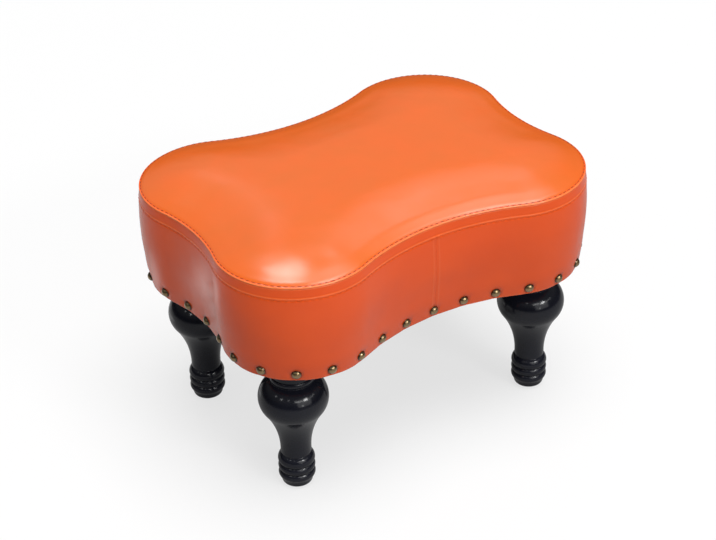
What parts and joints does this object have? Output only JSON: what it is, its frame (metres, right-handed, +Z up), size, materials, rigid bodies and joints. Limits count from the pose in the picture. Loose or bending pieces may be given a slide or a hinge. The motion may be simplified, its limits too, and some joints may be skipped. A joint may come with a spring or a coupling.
{
  "type": "footstool",
  "caption": "Low upholstered footstool: a waisted, softly crowned leather seat with a row of domed nails along its lower edge, on turned black-lacquered legs.",
  "frame": {"origin": "on the floor under the middle of the seat", "axes": "+X along the seat, +Y across it towards the back, +Z up"},
  "size_m": [0.4522, 0.3362, 0.3055],
  "materials": {
    "orange_leather": "satin",
    "black_lacquer": "gloss",
    "antique_brass": "satin",
    "plywood": "matte",
    "firm_foam": "matte",
    "soft_foam": "matte",
    "polyester_wadding": "matte",
    "black_nonwoven": "matte",
    "zinc_steel": "satin",
    "black_nylon": "matte"
  },
  "bodies": {
    "root": {"base_board": "plywood", "firm_foam": "firm_foam", "top_foam": "soft_foam", "wadding": "polyester_wadding", "cover_top_panel": "orange_leather", "cover_band_left": "orange_leather", "cover_band_right": "orange_leather", "dust_cover": "black_nonwoven", "upholstery_nails": "antique_brass", "staples": "zinc_steel", "leg_front_left": "black_lacquer", "hanger_bolt_front_left": "zinc_steel", "t_nut_front_left": "zinc_steel", "foot_glide_front_left": "black_nylon", "leg_front_right": "black_lacquer", "hanger_bolt_front_right": "zinc_steel", "t_nut_front_right": "zinc_steel", "foot_glide_front_right": "black_nylon", "leg_back_left": "black_lacquer", "hanger_bolt_back_left": "zinc_steel", "t_nut_back_left": "zinc_steel", "foot_glide_back_left": "black_nylon", "leg_back_right": "black_lacquer", "hanger_bolt_back_right": "zinc_steel", "t_nut_back_right": "zinc_steel", "foot_glide_back_right": "black_nylon"}
  },
  "joints": []
}
